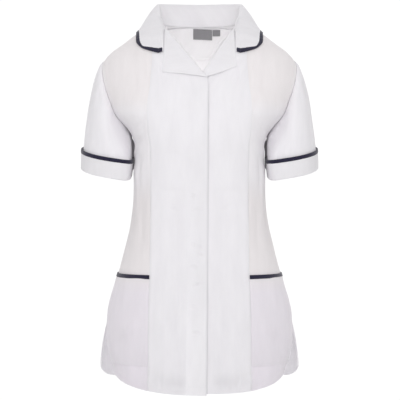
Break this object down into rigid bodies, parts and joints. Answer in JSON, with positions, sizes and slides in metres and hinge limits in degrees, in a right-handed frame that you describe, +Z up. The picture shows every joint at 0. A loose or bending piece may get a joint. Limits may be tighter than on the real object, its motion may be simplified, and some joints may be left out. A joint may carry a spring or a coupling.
{
  "type": "medical tunic, women's cut",
  "caption": "Short-sleeved healthcare tunic with revere collar, hip pockets, turn-back cuffs and side vents, kept in its worn, hollow form.",
  "frame": {"origin": "on the centre line at the level of the high points of the shoulders, where the wearer's shoulders hold the tunic", "axes": "+Z up, the front faces -Y, the wearer's left side is at +X"},
  "size_m": [0.475, 0.294, 0.7701],
  "materials": {
    "white_cloth": "matt woven polycotton",
    "navy_binding": "matt bias binding",
    "grey_label": "woven satin label, blank"
  },
  "bodies": {
    "root": {"right_front": "white_cloth", "left_front": "white_cloth", "right_side_front": "white_cloth", "left_side_front": "white_cloth", "back": "white_cloth", "right_sleeve": "white_cloth", "left_sleeve": "white_cloth", "right_cuff": "white_cloth", "left_cuff": "white_cloth", "right_cuff_trim": "navy_binding", "left_cuff_trim": "navy_binding", "collar": "white_cloth", "collar_trim": "navy_binding", "right_lapel": "white_cloth", "left_lapel": "white_cloth", "neck_facing": "white_cloth", "label": "grey_label", "size_tab": "grey_label", "right_pocket": "white_cloth", "left_pocket": "white_cloth", "right_pocket_trim": "navy_binding", "left_pocket_trim": "navy_binding"}
  },
  "joints": []
}
